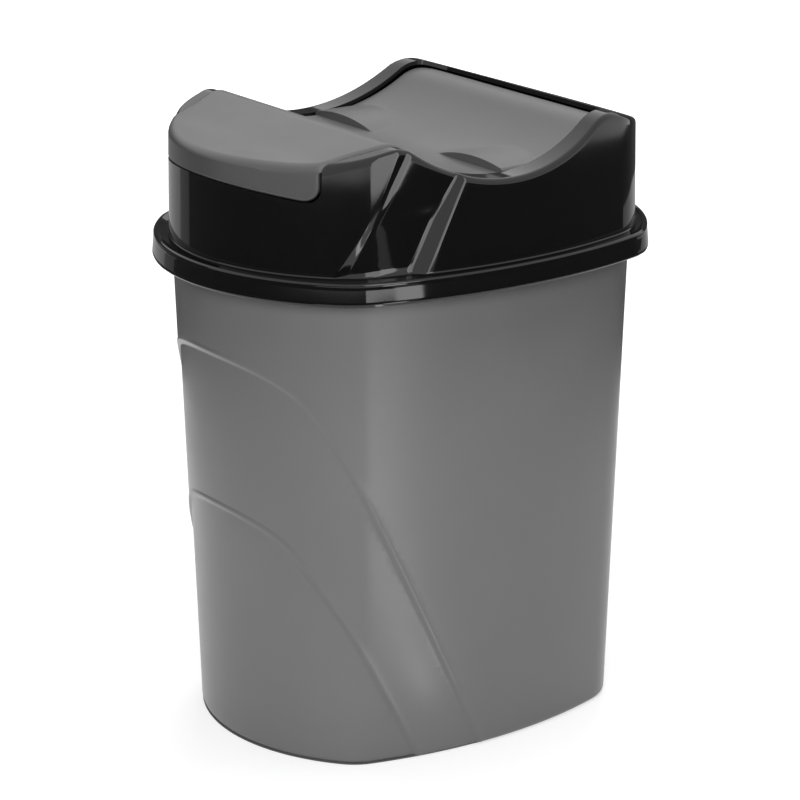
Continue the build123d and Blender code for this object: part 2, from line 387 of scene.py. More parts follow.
# %% Push the wall in below the arches
bm.normal_update()
for vert in bm.verts:
    outward = Vector((vert.normal.x, vert.normal.y, 0))
    if vert.co.z < ARCHED_BELOW_Z and outward.length > 0.3:
        facing_out = 1 if outward.dot(Vector((vert.co.x, vert.co.y, 0))) > 0 else -1
        below = [below_arch(vert.co.y, vert.co.z, arch, bend) for arch, bend in ARCHES]
        depth = sum(arch_depth(distance / ARCH_WIDTH) for distance in below)
        vert.co += -facing_out * depth * outward.normalized()
bucket = finish_piece(bm, "bucket_shell", "bin", "bucket", smooth=60)

# %% [markdown]
# ## The lid
# The lid is a thin shell too: a collar that hangs over the bucket's rim, a ledge, a nearly upright wall,
# and a deck that follows the wave and is open in the middle for the flap. Its columns of points aren't
# spaced evenly: some of them run along the slanted band of each side, so that the band's edges stay crisp
# in the gloss.

# %% Lid sizes
# Outlines of the collar and of the wall above it, which stands a little further back
COLLAR = (104.8, 131.7, 40.0, 9.6, 23.1)
SHROUD, SHROUD_SET_BACK = (98.4, 125.2, 39.8, 9.6, 23.1), 1.4
COLLAR_LOW, COLLAR_TOP, COLLAR_ROUND, COLLAR_LEAN, GROOVE = 250.0, 262.0, 1.5, 0.7, 1.6
SHROUD_TOP_Z, SHROUD_DRAFT, DECK_ROUND = 340.0, 1.3, 2.4
BAND_DEPTH, BAND_COVE = 3.0, 4.0

# Side view lines (y, z) of the band: its front edge, the hollow behind that, the hollow before its rear
# edge, and the rear edge
BAND_LINES = (
    ((-92.7, 262.0), (-78.0, 291.0), (-71.5, 303.5), (-62.6, 325.0)),
    ((-88.0, 262.0), (-76.4, 286.4), (-68.0, 304.0), (-57.4, 325.0)),
    ((-56.6, 262.0), (-44.6, 288.5), (-31.9, 309.4), (-25.5, 320.0)),
    ((-50.4, 262.0), (-40.6, 283.3), (-29.0, 307.9), (-23.3, 320.0)),
)
BAND_DIP_LOW, BAND_DIP_HIGH = 286.0, 298.0
FLAP_FRONT_X, FLAP_MID_X, FLAP_REAR_X = 69.0, 83.4, 74.8
FLAP_STRAIGHT_Y, FLAP_WIDE_Y, FLAP_WIDE_X = -97.0, -62.0, 79.3
FLAP_REAR_Y, FLAP_REAR_ROUND = 75.0, 12.0
LIP_LOW, LIP_LOW_MIDDLE, LIP_ROUND, CREASE_ROUND = 298.0, 303.7, 8.0, 4.5
LIP_GAP, FLAP_GAP, REAR_GAP = 0.3, 0.4, 1.2


def line_y(line, z):
    """Depth y of a side view line at height z."""
    for (y0, z0), (y1, z1) in zip(line, line[1:]):
        if z <= z1:
            break
    return y0 + (y1 - y0) * (z - z0) / (z1 - z0)


def shroud_arcs(z):
    """Arcs of the wall above the collar at height z; the wall leans in towards the top."""
    arcs = outline(SHROUD, SHROUD_DRAFT * (z - COLLAR_TOP) / (SHROUD_TOP_Z - COLLAR_TOP))
    return [(radius, x, y + SHROUD_SET_BACK, start, end) for radius, x, y, start, end in arcs]


def front_y(z, x):
    """Depth y of that wall's front at height z and half width x."""
    arcs = shroud_arcs(z)
    return walk(arcs, length_where(arcs, x=x))[1]


def lip_rise(x):
    """How far the lip's lower edge has arched up at x, over its two ends."""
    rise = LIP_LOW_MIDDLE - LIP_LOW
    radius = (FLAP_FRONT_X**2 + rise**2) / (2 * rise)
    return max(0.0, rise - radius + math.sqrt(radius**2 - x**2))


print("band's front edge at 270 and 300 mm:", [round(line_y(BAND_LINES[0], z), 1) for z in (270, 300)])

# %% [markdown]
# ### Columns of the lid
# From the middle of the front to the middle of the back, the half outline is divided at the notch for the
# flap's lip and at the edges of the band. Each stretch has its own number of columns.

# %% Number of columns, and the notch for the lip
NOTCH_COLUMNS = 30
# Columns across the notch, the front corner, the band's front edge, its panel, its rear edge, and the rest
STRETCHES = (NOTCH_COLUMNS, 18, 18, 8, 20, 78)
LID_HALF = sum(STRETCHES)
LID_COUNT = 2 * LID_HALF
NOTCH_X = FLAP_FRONT_X + FLAP_GAP
NOTCH_ROUND = LIP_ROUND + FLAP_GAP
NOTCH_Z, LIFT_FROM = LIP_LOW - LIP_GAP, 280.0


def notch_x(z):
    """Half width of the notch for the lip at a height; its lower corners are round."""
    drop = max(0.0, NOTCH_Z + NOTCH_ROUND - z)
    return NOTCH_X - NOTCH_ROUND + math.sqrt(max(0.0, NOTCH_ROUND**2 - drop**2))


print("lid", LID_COUNT, "columns, notch half width", round(notch_x(NOTCH_Z), 2), "to", NOTCH_X, "mm")

# %% [markdown]
# ### How the band is sunk
# Going back along the wall, the surface falls slowly behind the band's front edge, runs nearly level over
# the panel, and climbs steeply at the rear edge. Slopes are easier to keep smooth than depths, so the
# band is given as slopes, and its depth at a place is their sum up to there.

# %% Slopes of the band, and the depth that they add up to
FRONT_SLOPE, REAR_SLOPE, DIP_SLOPE, TRIAL_SLOPE = 0.3, -0.8, -0.12, 0.1
BAND_HEIGHT, BEND_LOW, BEND_LOSS, REAR_BEND = 58, 15.0, 7.0, 7.0
PANEL_START, PANEL_END = 5, 6


def band_slopes(arcs, z):
    """How steeply the wall sinks, as (length, slope) pairs along the half outline at a height."""
    front, hollow, rear_hollow, rear = (length_where(arcs, y=line_y(line, z)) for line in BAND_LINES)
    bend = BEND_LOW - BEND_LOSS * clamped((z - COLLAR_TOP) / BAND_HEIGHT)
    dip = clamped((z - BAND_DIP_LOW) / (BAND_DIP_HIGH - BAND_DIP_LOW))
    middle = (rear_hollow + 0.3 * bend + rear - 0.3 * REAR_BEND) / 2
    steep_from, steep_to = min(middle, rear_hollow + 0.3 * bend), max(middle, rear - 0.3 * REAR_BEND)

    def slopes(panel):
        groove = panel * (1 - dip) + DIP_SLOPE * dip
        return [
            (front - 0.7, 0.0), (front + 0.7, FRONT_SLOPE),
            (hollow - 1.4, FRONT_SLOPE), (hollow - 0.6, groove), (hollow + 0.9, groove),
            (hollow + 2.6, panel), (rear_hollow - 0.25 * bend, panel),
            (steep_from, REAR_SLOPE), (steep_to, REAR_SLOPE), (rear + 0.16 * REAR_BEND, 0.0),
        ]

    # The panel gets the slope that ends the band level with the plain wall
    flat, tilted = depth_along(slopes(0.0), math.inf), depth_along(slopes(TRIAL_SLOPE), math.inf)
    return slopes(-TRIAL_SLOPE * flat / (tilted - flat))


def depth_along(slopes, length):
    """How far the wall is sunk at a length along the outline: the sum of its slopes up to there."""
    depth = 0.0
    for (start, before), (end, after) in zip(slopes, slopes[1:]):
        if length <= start:
            break
        reach = min(1.0, (length - start) / max(1e-6, end - start))
        depth += (end - start) * reach * (before + (after - before) * reach / 2)
    return depth


slopes = band_slopes(shroud_arcs(290), 290)
print("band at 290 mm: panel slope", round(slopes[PANEL_START][1], 3), "depth before the rear edge",
      round(depth_along(slopes, slopes[PANEL_END][0]), 2), "mm")

# %% Where the columns stand on the wall
def column_lengths(arcs, z, half_notch):
    """Lengths along the half outline at which the columns stand."""
    slopes = band_slopes(arcs, z)
    band = [slopes[k][0] for k in (0, PANEL_START, PANEL_END, -1)]
    knots = [0.0, length_where(arcs, x=half_notch), *band, length_of(arcs)]
    places = [0.0]
    for low, high, count in zip(knots, knots[1:], STRETCHES):
        places += [low + (high - low) * k / count for k in range(1, count + 1)]
    return places


def sunk(x, y, turn, depth):
    return x - depth * math.cos(turn), y - depth * math.sin(turn)


print("half of the wall at 290 mm is", round(length_of(shroud_arcs(290)), 1), "mm round")

# %% [markdown]
# ### Collar, ledge and the lower wall
# These rings close all the way round. The collar's face leans in slightly towards the top, as a face must
# to leave its mould, and that lean is what lets it catch the strip light. The ledge falls into a shallow
# groove along the wall's foot, and the wall rises from it out of a small cove.

# %% Rows of the collar
COLLAR_FOOT, LEAN_OVER = 0.9, 8
collar_rows = [(COLLAR_LOW, 0.9), (COLLAR_LOW + 0.25, 0.3), (COLLAR_LOW + COLLAR_FOOT, 0.0)]
for z in spread(COLLAR_LOW + COLLAR_FOOT, COLLAR_TOP - COLLAR_ROUND, 2.0):
    collar_rows.append((z, COLLAR_LEAN * (z - COLLAR_LOW - COLLAR_FOOT) / LEAN_OVER))
for a in arc_steps(7)[1:]:
    inset = COLLAR_LEAN + COLLAR_ROUND * (1 - math.cos(a))
    collar_rows.append((COLLAR_TOP - COLLAR_ROUND * (1 - math.sin(a)), inset))


def collar_ring(z, inset):
    arcs = outline(COLLAR, inset)
    lean = column_lengths(shroud_arcs(COLLAR_TOP), COLLAR_TOP, notch_x(NOTCH_Z))
    share = length_of(arcs) / lean[-1]

    def point(i):
        x, y, turn = walk(arcs, lean[i] * share)
        return x, y, z

    return point


print("collar", len(collar_rows), "rows, from", collar_rows[0][0], "to", collar_rows[-1][0], "mm")

# %% Rows of the lower wall and of the ledge
FOOT_COVE, COVE_REACH = 0.5, 0.45


def cove(depth, z):
    """How far the wall's foot stands out: a small cove all round, and a larger one in the sunk band."""
    radius = FOOT_COVE + (BAND_COVE - FOOT_COVE) * min(1.0, depth / BAND_DEPTH)
    rise = min(radius, z - COLLAR_TOP)
    stand = radius - math.sqrt(radius**2 - (radius - rise) ** 2)
    return stand * (FOOT_COVE / radius + (1 - FOOT_COVE / radius) * COVE_REACH)


def wall_ring(z):
    arcs = shroud_arcs(z)
    slopes = band_slopes(arcs, z)
    lengths = column_lengths(arcs, z, notch_x(NOTCH_Z))

    def point(i):
        x, y, turn = walk(arcs, lengths[i])
        depth = depth_along(slopes, lengths[i])
        lift = 0.0
        if i <= NOTCH_COLUMNS:
            lift = lip_rise(x) * max(0.0, (z - LIFT_FROM) / (NOTCH_Z - LIFT_FROM))
        return *sunk(x, y, turn, depth - cove(depth, z)), z + lift

    return point


def ledge_ring(share):
    """A row of the ledge: it falls into a groove along the wall's foot."""
    outer, inner = collar_ring(*collar_rows[-1]), wall_ring(COLLAR_TOP)
    fall = Vector((0, 0, GROOVE * eased(1.7 * share)))
    return lambda i: Vector(outer(i)).lerp(Vector(inner(i)), share) - fall


print("cove at the wall's foot, mm:", [round(cove(depth, COLLAR_TOP), 2) for depth in (0, BAND_DEPTH)])

# %% Grow the rings up to the bottom of the notch
def lid_place(point):
    return lambda i: mirrored(i, LID_COUNT, point)


bm = bmesh.new()
edges = start_ring(bm, LID_COUNT, lid_place(collar_ring(*collar_rows[0])))
for z, inset in collar_rows[1:]:
    edges = grow(bm, edges, lid_place(collar_ring(z, inset)))
for share in spread(0.0, 1.0, 0.16):
    edges = grow(bm, edges, lid_place(ledge_ring(share)))
wall_heights = [COLLAR_TOP + h for h in (0.0, 0.08, 0.22, 0.5, 0.95, 1.6, 2.6, 4.0, 5.5)]
wall_heights += spread(COLLAR_TOP + 5.5, NOTCH_Z, 2.6)
for z in wall_heights:
    edges = grow(bm, edges, lid_place(wall_ring(z)))
print("lid", len(bm.faces), "faces up to the notch")

# %% [markdown]
# ### The upper wall, its rounded edge and the deck
# Above the bottom of the notch only the columns outside it go on. They climb to the wave, turn over a
# rounded edge, and run inwards over the deck to the edge of the flap's opening.

# %% The opening's edge in plan
def circle_through(a, b, c):
    """Centre x, centre y and radius of the circle through three points."""
    (ax, ay), (bx, by), (cx, cy) = a, b, c
    a_sum, b_sum, c_sum = ax**2 + ay**2, bx**2 + by**2, cx**2 + cy**2
    d = 2 * (ax * (by - cy) + bx * (cy - ay) + cx * (ay - by))
    x = (a_sum * (by - cy) + b_sum * (cy - ay) + c_sum * (ay - by)) / d
    y = (a_sum * (cx - bx) + b_sum * (ax - cx) + c_sum * (bx - ax)) / d
    return x, y, math.hypot(ax - x, ay - y)


def plan_half_width(y, gap, rear_gap):
    """Half width of the flap's plan at depth y, grown by the gap."""
    x, centre_y, radius = circle_through((FLAP_WIDE_X + gap, FLAP_WIDE_Y), (FLAP_MID_X + gap, 0),
                                         (FLAP_REAR_X + gap, FLAP_REAR_Y + rear_gap))
    width = x + math.sqrt(radius**2 - (y - centre_y) ** 2)
    width += (FLAP_FRONT_X + gap - width) * eased((FLAP_WIDE_Y - y) / (FLAP_WIDE_Y - FLAP_STRAIGHT_Y))
    past = y - (FLAP_REAR_Y + rear_gap - FLAP_REAR_ROUND - gap)
    if past > 0:
        corner = FLAP_REAR_ROUND + gap
        width -= corner - math.sqrt(max(0.0, corner**2 - past**2))
    return width


print("flap's half width, mm:", [round(plan_half_width(y, 0, 0), 1) for y in (-90, 0, 60)])

# %% The opening's edge as a chain of points
OPENING_TOP_Z, REAR_STEPS = 318, 24
rear, corner = FLAP_REAR_Y + REAR_GAP, FLAP_REAR_ROUND + FLAP_GAP
start = front_y(OPENING_TOP_Z, NOTCH_X) + CREASE_ROUND + 3.0
depths = [start] + spread(start, rear - corner, 1.5)
depths += [rear - corner + corner * math.sin(a) for a in arc_steps(12)[1:]]
# From the notch back along the side, and then across the rear to its middle
OPENING = [(plan_half_width(y, FLAP_GAP, REAR_GAP), y) for y in depths]
OPENING += [(OPENING[-1][0] * (1 - k / REAR_STEPS), rear) for k in range(1, REAR_STEPS + 1)]


def along(points, share):
    """The point a share of the way along a chain of points."""
    steps = [math.dist(a, b) for a, b in zip(points, points[1:])]
    left = share * sum(steps)
    for step, a, b in zip(steps, points, points[1:]):
        if left <= step:
            break
        left -= step
    share = min(1.0, left / step)
    return a[0] + (b[0] - a[0]) * share, a[1] + (b[1] - a[1]) * share


print("opening edge", len(OPENING), "points from", [round(c, 1) for c in OPENING[0]])

# %% Climb from the notch to the wave
ROUND_COLUMNS, INWARD_COLUMNS = 8, 12


def deck_round(i):
    """Radius of the rounded edge at column i: like the flap's crease at the notch, tighter further back."""
    return CREASE_ROUND + (DECK_ROUND - CREASE_ROUND) * eased((i - NOTCH_COLUMNS) / ROUND_COLUMNS)


def upper_point(i, climb):
    """Column i of the upper wall; climb goes from 0 at the notch's bottom to 1 where the rounding starts."""
    z = NOTCH_Z
    # The wave's height depends on the depth y, and y on the height, so a few rounds settle both
    for _ in range(4):
        arcs = shroud_arcs(z)
        length = column_lengths(arcs, z, notch_x(z))[i]
        x, y, turn = walk(arcs, length)
        x, y = sunk(x, y, turn, depth_along(band_slopes(arcs, z), length))
        z = NOTCH_Z + (wave(y) - deck_round(i) - NOTCH_Z) * climb
    return x, y, z, turn


TOP_ROW = [upper_point(i, 1.0) for i in range(LID_HALF + 1)]
print("the rounding starts at", round(TOP_ROW[-1][2], 1), "mm at the back")

# %% [markdown]
# Beside the notch the rounding runs straight back, like the flap's own crease, and further round it turns
# square to the wall. A column's point on the opening's edge lies at the same share of the way round, so
# that the deck's rows run straight across it without shearing.

# %% Turn over the rounded edge and cross the deck
def round_point(i, turn_up):
    x, y, z, turn = TOP_ROW[i]
    radius = deck_round(i)
    inset = radius * (1 - math.cos(turn_up))
    square = Vector((-math.cos(turn), -math.sin(turn)))
    inwards = Vector((0, 1)).lerp(square, eased((i - NOTCH_COLUMNS) / INWARD_COLUMNS))
    x, y = x + inset * inwards.x, y + inset * inwards.y
    return x, y, wave(y) - radius * (1 - math.sin(turn_up))


def deck_point(i, share):
    x, y, z = round_point(i, QUARTER)
    inner_x, inner_y = INNER_ROW[i]
    x, y = x + (inner_x - x) * share, y + (inner_y - y) * share
    return x, y, wave(y)


lengths = [0.0]
for i in range(NOTCH_COLUMNS, LID_HALF):
    a, b = round_point(i, QUARTER), round_point(i + 1, QUARTER)
    lengths.append(lengths[-1] + math.dist(a[:2], b[:2]))
INNER_ROW = [along(OPENING, lengths[max(0, i - NOTCH_COLUMNS)] / lengths[-1]) for i in range(LID_HALF + 1)]
print("the deck at the back runs from", round(TOP_ROW[-1][1], 1), "in to", round(INNER_ROW[-1][1], 1), "mm")

# %% Grow the rings above the notch
number = bm.verts.layers.int["number"]
beside_notch = range(NOTCH_COLUMNS, LID_COUNT - NOTCH_COLUMNS + 1)
edges = [e for e in edges if all(vert[number] in beside_notch for vert in e.verts)]
for climb in spread(0.0, 1.0, 0.1):
    edges = grow(bm, edges, lid_place(lambda i: upper_point(i, climb)[:3]))
for turn_up in arc_steps(6)[1:]:
    edges = grow(bm, edges, lid_place(lambda i: round_point(i, turn_up)))
for share in spread(0.0, 1.0, 1 / 14):
    edges = grow(bm, edges, lid_place(lambda i: deck_point(i, share)))
lid = finish_piece(bm, "lid_shell", "lid", "lid", smooth=60)
give_wall(lid, WALL, 0.45)

# %% [markdown]
# ## The flap
# The flap is a sheet with the same wave, hung in the middle of its length. Its front turns down into a
# lip that lies flush with the lid's front wall, and all its edges turn down into a short skirt. It could
# be cut out of a block, but the light would show every flat. So it starts as a flat grid, whose columns
# are spread across the flap and whose rows run up the lip and back along the wave.

# %% Flap sizes and heights
SKIRT, EDGE = 8.0, 2.3
HOOD_FACE_Y, HOOD_LINE = 2.0, ((28.0, 302.8), (59.0, 307.6), (86.0, 304.6))
hood_x, hood_z, hood_radius = circle_through(*HOOD_LINE)


def flap_height(x, y):
    """Height of the flap's top: the wave, and the hood over each stud where it stands higher."""
    height = flap_wave(y)
    if y > HOOD_FACE_Y and abs(x) > HOOD_LINE[0][0]:
        height = max(height, hood_z + math.sqrt(max(0.0, hood_radius**2 - (abs(x) - hood_x) ** 2)))
    return height


print("hood over the valley", round(flap_height(59, HOOD_FACE_Y + 0.1) - flap_wave(HOOD_FACE_Y), 2), "mm")

# %% [markdown]
# ### Rows of the flap
# Each row knows where it meets the flap's right edge: the last point of the flat of the sheet, the
# direction that leads out over the edge, and the direction that leads out of the surface. The rounding of
# the edge and the skirt under it are then the same few steps everywhere, on the sides, round the corners
# and under the lip.

# %% Rows of the lip and the crease
def lip_row(z, turn_down=0.0):
    """The row at height z, where the lip's edge has turned down so far round its lower corner."""
    arcs = shroud_arcs(z)
    across = math.cos(turn_down)
    x, y, turn = walk(arcs, length_where(arcs, x=FLAP_FRONT_X - LIP_ROUND + (LIP_ROUND - EDGE) * across))
    outward = Vector((-math.sin(turn) * across, math.cos(turn) * across, -math.sin(turn_down)))
    return Vector((x, y, z)), outward, Vector((math.cos(turn), math.sin(turn), 0))


rows = []
for turn_down in reversed(arc_steps(8)):
    z = LIP_LOW + LIP_ROUND - (LIP_ROUND - EDGE) * math.sin(turn_down)
    rows.append(lip_row(z, turn_down))
front_top = flap_wave(rows[-1][0].y)
crease_low = front_top - CREASE_ROUND
rows += [lip_row(z) for z in spread(LIP_LOW + LIP_ROUND, crease_low, 1.6)]
lip_count = len(rows)
face, outward, normal = rows[-1]
for turn_up in arc_steps(8)[1:]:
    inset = CREASE_ROUND * (1 - math.cos(turn_up))
    spot = Vector((face.x, face.y + inset, 0))
    spot.z = flap_wave(spot.y) - CREASE_ROUND * (1 - math.sin(turn_up))
    rows.append((spot, outward, Vector((0, -math.cos(turn_up), math.sin(turn_up)))))
crease_count = len(rows)
print("lip", lip_count, "rows up to", round(crease_low, 1), "mm, crease", crease_count - lip_count, "rows")

# %% Rows of the sides and of the rear corner
HOOD_FRONT, HOOD_BACK, CORNER_SHARE = HOOD_FACE_Y - 0.1, HOOD_FACE_Y + 0.15, 0.9
corner_start = FLAP_REAR_Y - FLAP_REAR_ROUND
depths = spread(rows[-1][0].y, HOOD_FRONT, 1.7) + [HOOD_BACK] + spread(HOOD_BACK, corner_start, 1.8)


def side_turn(y):
    """Direction out of the flap's side at depth y, in plan."""
    step = 0.5
    run = plan_half_width(y + step, 0, 0) - plan_half_width(y - step, 0, 0)
    return Vector((2 * step, -run, 0)).normalized()


for y in depths:
    out = side_turn(min(y, corner_start - 1))
    rows.append((Vector((plan_half_width(y, 0, 0), y, 0)) - EDGE * out, out, None))
corner_width = plan_half_width(corner_start, 0, 0)
for turn in arc_steps(10)[1:]:
    out = Vector((math.cos(turn), math.sin(turn), 0))
    # The side goes on closing in behind the corner's start, and the corner's centre slips with it
    past = CORNER_SHARE * FLAP_REAR_ROUND * math.sin(turn)
    slip = corner_width - plan_half_width(corner_start + past, 0, 0)
    slip -= FLAP_REAR_ROUND * (1 - math.sqrt(max(0.0, 1 - (CORNER_SHARE * math.sin(turn)) ** 2)))
    centre = Vector((corner_width - FLAP_REAR_ROUND - slip, corner_start, 0))
    rows.append((centre + (FLAP_REAR_ROUND - EDGE) * out, out, None))
print("flap", len(rows), "rows in all")

# %% Spread the grid over the rows
FLAP_COLUMNS, BOW_ROWS = 90, 14
bm = bmesh.new()
number = bm.verts.layers.int.new("number")
grid = bmesh.ops.create_grid(bm, x_segments=FLAP_COLUMNS, y_segments=len(rows) - 1, size=1)["verts"]
for vert in grid:
    across, row = vert.co.x, round((vert.co.y + 1) / 2 * (len(rows) - 1))
    end = rows[row][0]
    vert[number] = row
    x, reach = across * end.x, abs(across) * end.x
    if row < lip_count:
        lift = lip_rise(x) * (crease_low - end.z) / (crease_low - LIP_LOW)
        vert.co = (x, front_y(end.z, reach), end.z + lift)
    elif row < crease_count:
        y = front_y(crease_low, reach) + (end.y - rows[lip_count - 1][0].y)
        turn_up = QUARTER * (row - lip_count + 1) / (crease_count - lip_count)
        vert.co = (x, y, flap_wave(y) - CREASE_ROUND * (1 - math.sin(turn_up)))
    else:
        # The first rows are bowed like the front, and the bow fades over the next ones
        straight = min(1.0, (row - crease_count + 1) / BOW_ROWS)
        y = end.y + (front_y(front_top, reach) - front_y(front_top, end.x)) * (1 - straight)
        vert.co = (x, y, flap_height(x, y))
print("flap", len(bm.faces), "faces in the sheet")

# %% [markdown]
# ### The rounded edge and the skirt
# The sheet's free edges are extruded over a quarter turn and then straight down, and each new point is
# placed from what its row knows about the edge.

# %% What the edge is like at each point of the sheet's rim
def edge_of(vert):
    """The outward and out-of-surface directions at a point of the rim."""
    row, side = vert[number], 1 if vert.co.x >= 0 else -1
    spot, outward, normal = rows[row]
    if normal is None:
        slope = (flap_wave(spot.y + 0.1) - flap_wave(spot.y - 0.1)) / 0.2
        normal = Vector((0, -slope, 1)).normalized()
    if row in (0, len(rows) - 1):
        outward = Vector((0, outward.y, outward.z)).normalized()
        if row == 0:
            normal = Vector((side * normal.x * abs(vert.co.x) / spot.x, normal.y, 0)).normalized()
        return outward, normal
    return Vector((side * outward.x, outward.y, outward.z)), Vector((side * normal.x, normal.y, normal.z))


rim = []
for vert in [v for v in bm.verts if v.is_boundary]:
    rim.append((vert.co.copy(), *edge_of(vert)))
    vert[number] = len(rim) - 1
print("flap", len(rim), "points on the rim")

# %% Extrude the edge
def edge_place(i, reach, drop):
    """Point i of the rim moved out and down, and under the lip no further down than wall and rounding."""
    spot, outward, normal = rim[i]
    lip_under = max(0.0, -outward.z)
    return spot + outward * reach - normal * (drop - (drop - min(drop, WALL + EDGE)) * lip_under)


edges = [e for e in bm.edges if e.is_boundary]
steps = [(EDGE * math.sin(a), EDGE * (1 - math.cos(a))) for a in arc_steps(5)[1:]]
for reach, drop in steps + [(EDGE, EDGE + 1.5), (EDGE, SKIRT)]:
    edges = grow(bm, edges, lambda i: edge_place(i, reach, drop))
flap = finish_piece(bm, "flap_sheet", "flap", "flap", smooth=60)
give_wall(flap, WALL, 0.4)

# %% [markdown]
# ## Studs and ears
# The flap turns on a short stud at each end of its valley, and each stud sits in the hole of an ear that
# hangs under the lid's deck. Both are out of sight at rest, but show when the flap is up.

# %% Studs on the flap
PIVOT_Y, PIVOT_Z, STUD_R, STUD_CLEAR, STUD_END_X, BOSS_R = 3.0, 298.0, 3.0, 0.06, 88.4, 4.6


def both_sides(bm):
    bmesh.ops.mirror(bm, geom=bm.verts[:] + bm.edges[:] + bm.faces[:], axis="X", merge_dist=-1)


def turned_pin(bm, radius, start, end):
    """A round pin along X, from start to end."""
    made = bmesh.ops.create_cone(bm, cap_ends=True, segments=40, radius1=radius, radius2=radius,
                                 depth=end - start)
    lay_down = Vector((0, 0, 1)).rotation_difference(Vector((1, 0, 0))).to_matrix()
    bmesh.ops.rotate(bm, verts=made["verts"], cent=(0, 0, 0), matrix=lay_down)
    bmesh.ops.translate(bm, verts=made["verts"], vec=((start + end) / 2, PIVOT_Y, PIVOT_Z))


bm = bmesh.new()
turned_pin(bm, BOSS_R, FLAP_MID_X - 2 * WALL, FLAP_MID_X - WALL / 2)
turned_pin(bm, STUD_R, FLAP_MID_X - WALL / 2, STUD_END_X)
both_sides(bm)
studs = finish_piece(bm, "flap_studs", "flap", None, smooth=40)
round_edges(studs, 0.4, 2)

# %% Ears under the deck
EAR_X, EAR_WIDTH, EAR_TOP, EAR_POINTS, EAR_SQUARE = (84.6, 87.6), 15.0, 303.5, 48, 1.6
bm = bmesh.new()
hole = STUD_R + STUD_CLEAR


def ear_point(i, radius):
    """Points round the hole or the ear; the ear's upper half is squared off to meet the deck."""
    turn = 2 * math.pi * i / EAR_POINTS
    y, z = radius * math.sin(turn), radius * math.cos(turn)
    if radius > hole and z > 0:
        y = max(-radius, min(radius, y * EAR_SQUARE))
        z = min(EAR_TOP - PIVOT_Z, z * EAR_SQUARE)
    return Vector((EAR_X[0], PIVOT_Y + y, PIVOT_Z + z))


edges = start_ring(bm, EAR_POINTS, lambda i: ear_point(i, hole))
edges = grow(bm, edges, lambda i: ear_point(i, EAR_WIDTH / 2))
bmesh.ops.solidify(bm, geom=bm.faces[:], thickness=EAR_X[1] - EAR_X[0])
shift = EAR_X[0] - min(v.co.x for v in bm.verts)
bmesh.ops.translate(bm, verts=bm.verts, vec=(shift, 0, 0))
both_sides(bm)
ears = finish_piece(bm, "lid_ears", "lid", None, smooth=40)

# %% [markdown]
# ## Plastics
# All three pieces are moulded plastic, told apart by colour, by gloss and by grain. Each material starts
# from one shader and gets a fine grain from the mould, a slow change of gloss where it was handled, and a
# faint change of colour where the melt flowed.

# %% Helpers for materials
def new_material(name):
    mat = bpy.data.materials.new(name)
    mat.use_nodes = True
    return mat, mat.node_tree.nodes, mat.node_tree.links


def remap(nodes, links, value, ends, new_ends):
    """A node that turns the values between the two ends into values between the two new ends."""
    made = nodes.new("ShaderNodeMapRange")
    made.inputs["From Min"].default_value, made.inputs["From Max"].default_value = ends
    made.inputs["To Min"].default_value, made.inputs["To Max"].default_value = new_ends
    links.new(value, made.inputs["Value"])
    return made.outputs["Result"]


print("materials before the plastics:", len(bpy.data.materials))

# %% A moulded plastic
DEEPER, PALER, FLOW_SCALE, GLOSS_SCALE, NOISE_ENDS = 0.965, 1.035, 14.0, 26.0, (0.3, 0.7)


def moulded(name, colour, roughness, spread_of_gloss, grain_scale, grain_height):
    mat, nodes, links = new_material(name)
    shader = nodes["Principled BSDF"]
    where = nodes.new("ShaderNodeTexCoord").outputs["Object"]

    def noise(scale, detail):
        made = nodes.new("ShaderNodeTexNoise")
        made.inputs["Scale"].default_value = scale
        made.inputs["Detail"].default_value = detail
        links.new(where, made.inputs["Vector"])
        return made.outputs["Fac"]

    tint = nodes.new("ShaderNodeMix")
    tint.data_type = "RGBA"
    tint.inputs["A"].default_value = (*[c * DEEPER for c in colour], 1)
    tint.inputs["B"].default_value = (*[c * PALER for c in colour], 1)
    links.new(remap(nodes, links, noise(FLOW_SCALE, 3.0), NOISE_ENDS, (0.0, 1.0)), tint.inputs["Factor"])
    links.new(tint.outputs["Result"], shader.inputs["Base Color"])
    gloss_ends = (roughness - spread_of_gloss, roughness + spread_of_gloss)
    gloss = remap(nodes, links, noise(GLOSS_SCALE, 4.0), NOISE_ENDS, gloss_ends)
    links.new(gloss, shader.inputs["Roughness"])
    bump = nodes.new("ShaderNodeBump")
    bump.inputs["Distance"].default_value = grain_height
    bump.inputs["Strength"].default_value = 1.0
    links.new(noise(grain_scale, 2.0), bump.inputs["Height"])
    links.new(bump.outputs["Normal"], shader.inputs["Normal"])
    return mat


satin_grey = moulded("satin_grey_plastic", (0.165, 0.165, 0.168), 0.32, 0.03, 900.0, 0.00002)
flap_grey = moulded("dark_grey_plastic", (0.07, 0.07, 0.071), 0.36, 0.03, 900.0, 0.00001)
gloss_black = moulded("gloss_black_plastic", (0.004, 0.004, 0.004), 0.07, 0.02, 60.0, 0.00001)
print("plastics:", [mat.name for mat in (satin_grey, flap_grey, gloss_black)])

# %% Give each piece and each node of the frame its plastic
for node, pieces, mat in (("bucket", (bucket,), satin_grey), ("flap", (flap, studs), flap_grey),
                          ("lid", (lid, ears), gloss_black)):
    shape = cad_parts[node]
    shape.data.materials.clear()
    for piece in (shape, *pieces):
        piece.data.materials.append(mat)
    print(node, "and", [piece.name for piece in pieces], "are", mat.name)

# %% [markdown]
# ## Studio
# The photograph was taken in soft light on a white ground. Gloss shows whatever stands round it, so dark
# boards bent round the bin keep the black plastic black, and bright strips before them give it its
# highlights. Both show only in reflections. The ground is a matt grey that glows white only to the camera
# and in mirrors, so that it throws no extra light up on the bin.

